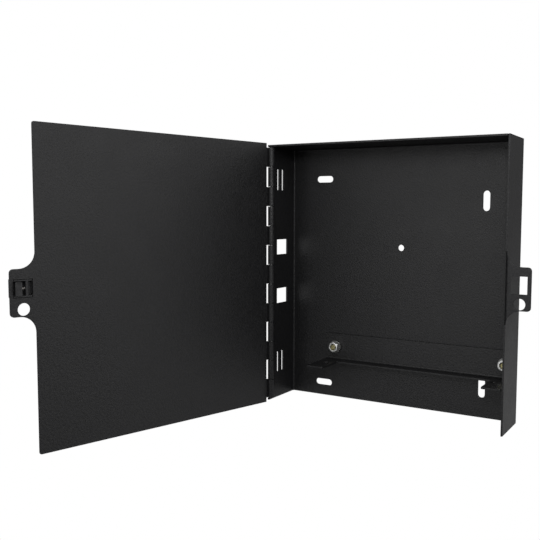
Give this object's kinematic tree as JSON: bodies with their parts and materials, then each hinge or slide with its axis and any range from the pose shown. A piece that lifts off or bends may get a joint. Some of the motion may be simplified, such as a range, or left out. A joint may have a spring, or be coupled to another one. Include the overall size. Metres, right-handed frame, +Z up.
{
  "type": "fiber termination box",
  "caption": "Shallow folded-steel wall box with an open bottom, a rolled-hinge door on the left, a sprung latch tab and an inner bracket with ears for an adapter plate.",
  "frame": {"origin": "centre of the back panel's rear face, which lies on the wall", "axes": "+X to the right seen from the front, +Y into the wall, +Z up"},
  "size_m": [0.2392, 0.2095, 0.1844],
  "materials": {
    "powder_coat": "fine-textured matte black powder coat on sheet steel",
    "zinc_steel": "bright zinc plating",
    "passivated_steel": "yellow passivated zinc on threads",
    "latch_plastic": "satin moulded black plastic",
    "slide_plastic": "satin moulded black plastic",
    "spring_steel": "drawn spring wire"
  },
  "bodies": {
    "box": {"base_shell": "powder_coat", "adapter_bracket": "powder_coat", "stud_left": "passivated_steel", "stud_right": "passivated_steel", "washer_left": "zinc_steel", "washer_right": "zinc_steel", "hex_nut_left": "zinc_steel", "hex_nut_right": "zinc_steel", "hinge_pin": "zinc_steel"},
    "door": {"door_panel": "powder_coat", "latch_housing": "latch_plastic", "latch_spring": "spring_steel"},
    "latch": {"latch_slide": "slide_plastic"}
  },
  "joints": [
    {"name": "door_hinge", "type": "hinge", "parent": "box", "child": "door", "pos_m": [-0.0826, -0.0341, 0], "axis": [0, 0, -1], "range_deg": [-106.2, 73.8]},
    {"name": "latch_travel", "type": "slide", "parent": "door", "child": "latch", "axis": [0.279, 0.9603, 0], "range_m": [0, 0.0016], "stiffness_N_per_m": 300, "springref_m": -0.003, "deforming": ["latch_spring"]}
  ]
}
